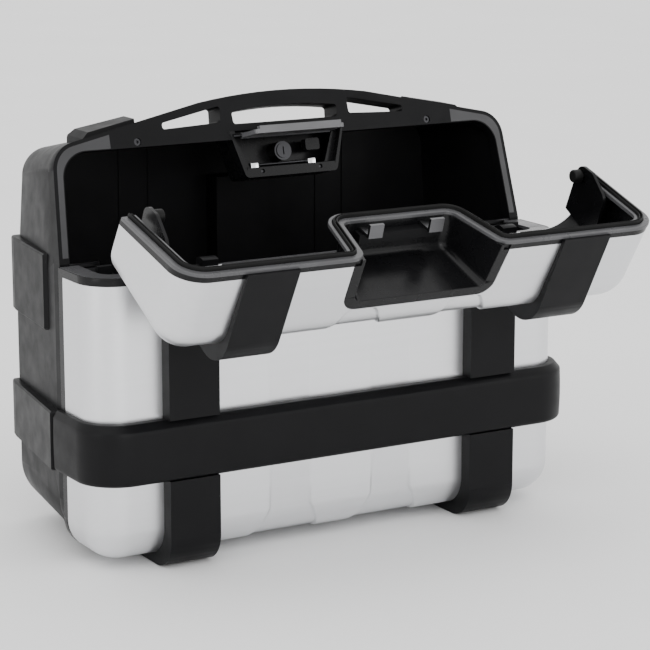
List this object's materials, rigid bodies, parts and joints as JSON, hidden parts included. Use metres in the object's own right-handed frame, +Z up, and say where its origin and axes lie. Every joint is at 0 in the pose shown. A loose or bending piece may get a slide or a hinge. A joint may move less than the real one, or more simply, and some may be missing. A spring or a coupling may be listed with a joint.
{
  "type": "motorcycle top case",
  "caption": "Hard motorcycle top case with aluminium-skinned cover and flap, black plastic shell, carrying handle, lever lock and bumper band, shown with the flap open.",
  "frame": {"origin": "middle of the base of the whole case with the flap open, on the surface it stands on", "axes": "+X across the case, +Z up, -Y the side that opens; +Y is the normal of the rails that rest on the carrier"},
  "size_m": [0.5158, 0.3824, 0.4094],
  "materials": {
    "shell_plastic": "fine-grained moulded charcoal black",
    "grey_land": "smooth mid grey",
    "rubber": "soft matte black",
    "aluminium_skin": "satin, finely brushed",
    "strap_plastic": "matte black",
    "rim_plastic": "satin dark grey",
    "liner_plastic": "smooth black",
    "steel": "zinc plated",
    "chrome": "polished",
    "lever_grey": "satin grey",
    "dark_metal": "blackened, satin"
  },
  "bodies": {
    "shell": {"back_shell": "shell_plastic", "front_frame": "shell_plastic", "frame_screws": "dark_metal", "frame_gasket": "rubber", "lock_housing": "liner_plastic", "key_sleeve": "dark_metal", "button_spring": "steel", "lower_hinge_pins": "steel", "rear_feet": "rubber", "catch_guide": "shell_plastic", "lever_pin": "dark_metal", "corner_trim_left": "grey_land", "side_bumper_left": "strap_plastic", "upper_pad_left": "shell_plastic", "mount_rail_left": "shell_plastic", "hook_plate_left": "steel", "hinge_base_left": "shell_plastic", "latch_keeper_left": "steel", "corner_trim_right": "grey_land", "side_bumper_right": "strap_plastic", "upper_pad_right": "shell_plastic", "mount_rail_right": "shell_plastic", "hook_plate_right": "steel", "hinge_base_right": "shell_plastic", "latch_keeper_right": "steel"},
    "cover": {"cover_skin": "aluminium_skin", "cover_edge_trim": "liner_plastic", "cover_liner": "liner_plastic", "cover_top_ledge": "rim_plastic", "bumper_band": "strap_plastic", "upper_hinge_pins": "steel", "cover_strap_left": "strap_plastic", "latch_base_left": "shell_plastic", "cover_strap_right": "strap_plastic", "latch_base_right": "shell_plastic"},
    "flap": {"flap_skin": "aluminium_skin", "flap_edge_trim": "liner_plastic", "flap_liner": "liner_plastic", "flap_rim_flange": "rim_plastic", "flap_seal": "rubber", "flap_lock_pocket": "liner_plastic", "flap_strike_seat": "shell_plastic", "flap_strap_left": "strap_plastic", "flap_strike_left": "steel", "flap_stop_left": "rubber", "flap_cheek_left": "liner_plastic", "flap_strap_right": "strap_plastic", "flap_strike_right": "steel", "flap_stop_right": "rubber", "flap_cheek_right": "liner_plastic"},
    "lever": {"lock_lever": "lever_grey"},
    "bolts": {"lock_bolts": "chrome"},
    "key": {"key_cylinder": "dark_metal"},
    "button": {"release_button": "liner_plastic"},
    "catch": {"carrier_catch": "shell_plastic"},
    "latch_left": {"latch_bolt_left": "shell_plastic"},
    "latch_right": {"latch_bolt_right": "shell_plastic"}
  },
  "joints": [
    {"name": "cover_hinge", "type": "hinge", "parent": "shell", "child": "cover", "pos_m": [0, 0.04024, 0.0045], "axis": [1, 0, 0], "range_deg": [0, 90]},
    {"name": "flap_hinge", "type": "hinge", "parent": "cover", "child": "flap", "pos_m": [0, -0.03776, 0.27], "axis": [1, 0, 0], "range_deg": [-122, 0]},
    {"name": "lever_hinge", "type": "hinge", "parent": "shell", "child": "lever", "pos_m": [0, 0.07217, 0.36988], "axis": [1, 0, 0], "range_deg": [0, 90]},
    {"name": "bolt_slide", "type": "slide", "parent": "shell", "child": "bolts", "axis": [0, -0.9681, 0.2504], "range_m": [0, 0.008]},
    {"name": "key_turn", "type": "hinge", "parent": "shell", "child": "key", "pos_m": [0, 0.08414, 0.35025], "axis": [0, -0.9681, 0.2504], "range_deg": [0, 90]},
    {"name": "button_press", "type": "slide", "parent": "shell", "child": "button", "axis": [0, 0.9681, -0.2504], "range_m": [0, 0.004], "stiffness_N_per_m": 300, "springref_m": -0.002},
    {"name": "catch_slide", "type": "slide", "parent": "shell", "child": "catch", "axis": [0, 0, 1], "range_m": [0, 0.008]},
    {"name": "latch_left_slide", "type": "slide", "parent": "cover", "child": "latch_left", "axis": [0, 1, 0], "range_m": [0, 0.009]},
    {"name": "latch_right_slide", "type": "slide", "parent": "cover", "child": "latch_right", "axis": [0, 1, 0], "range_m": [0, 0.009]}
  ],
  "couplings": [
    {"joint": "bolt_slide", "follows": "lever_hinge", "m_per_rad": 0.005093},
    {"joint": "catch_slide", "follows": "button_press", "ratio": 2}
  ]
}
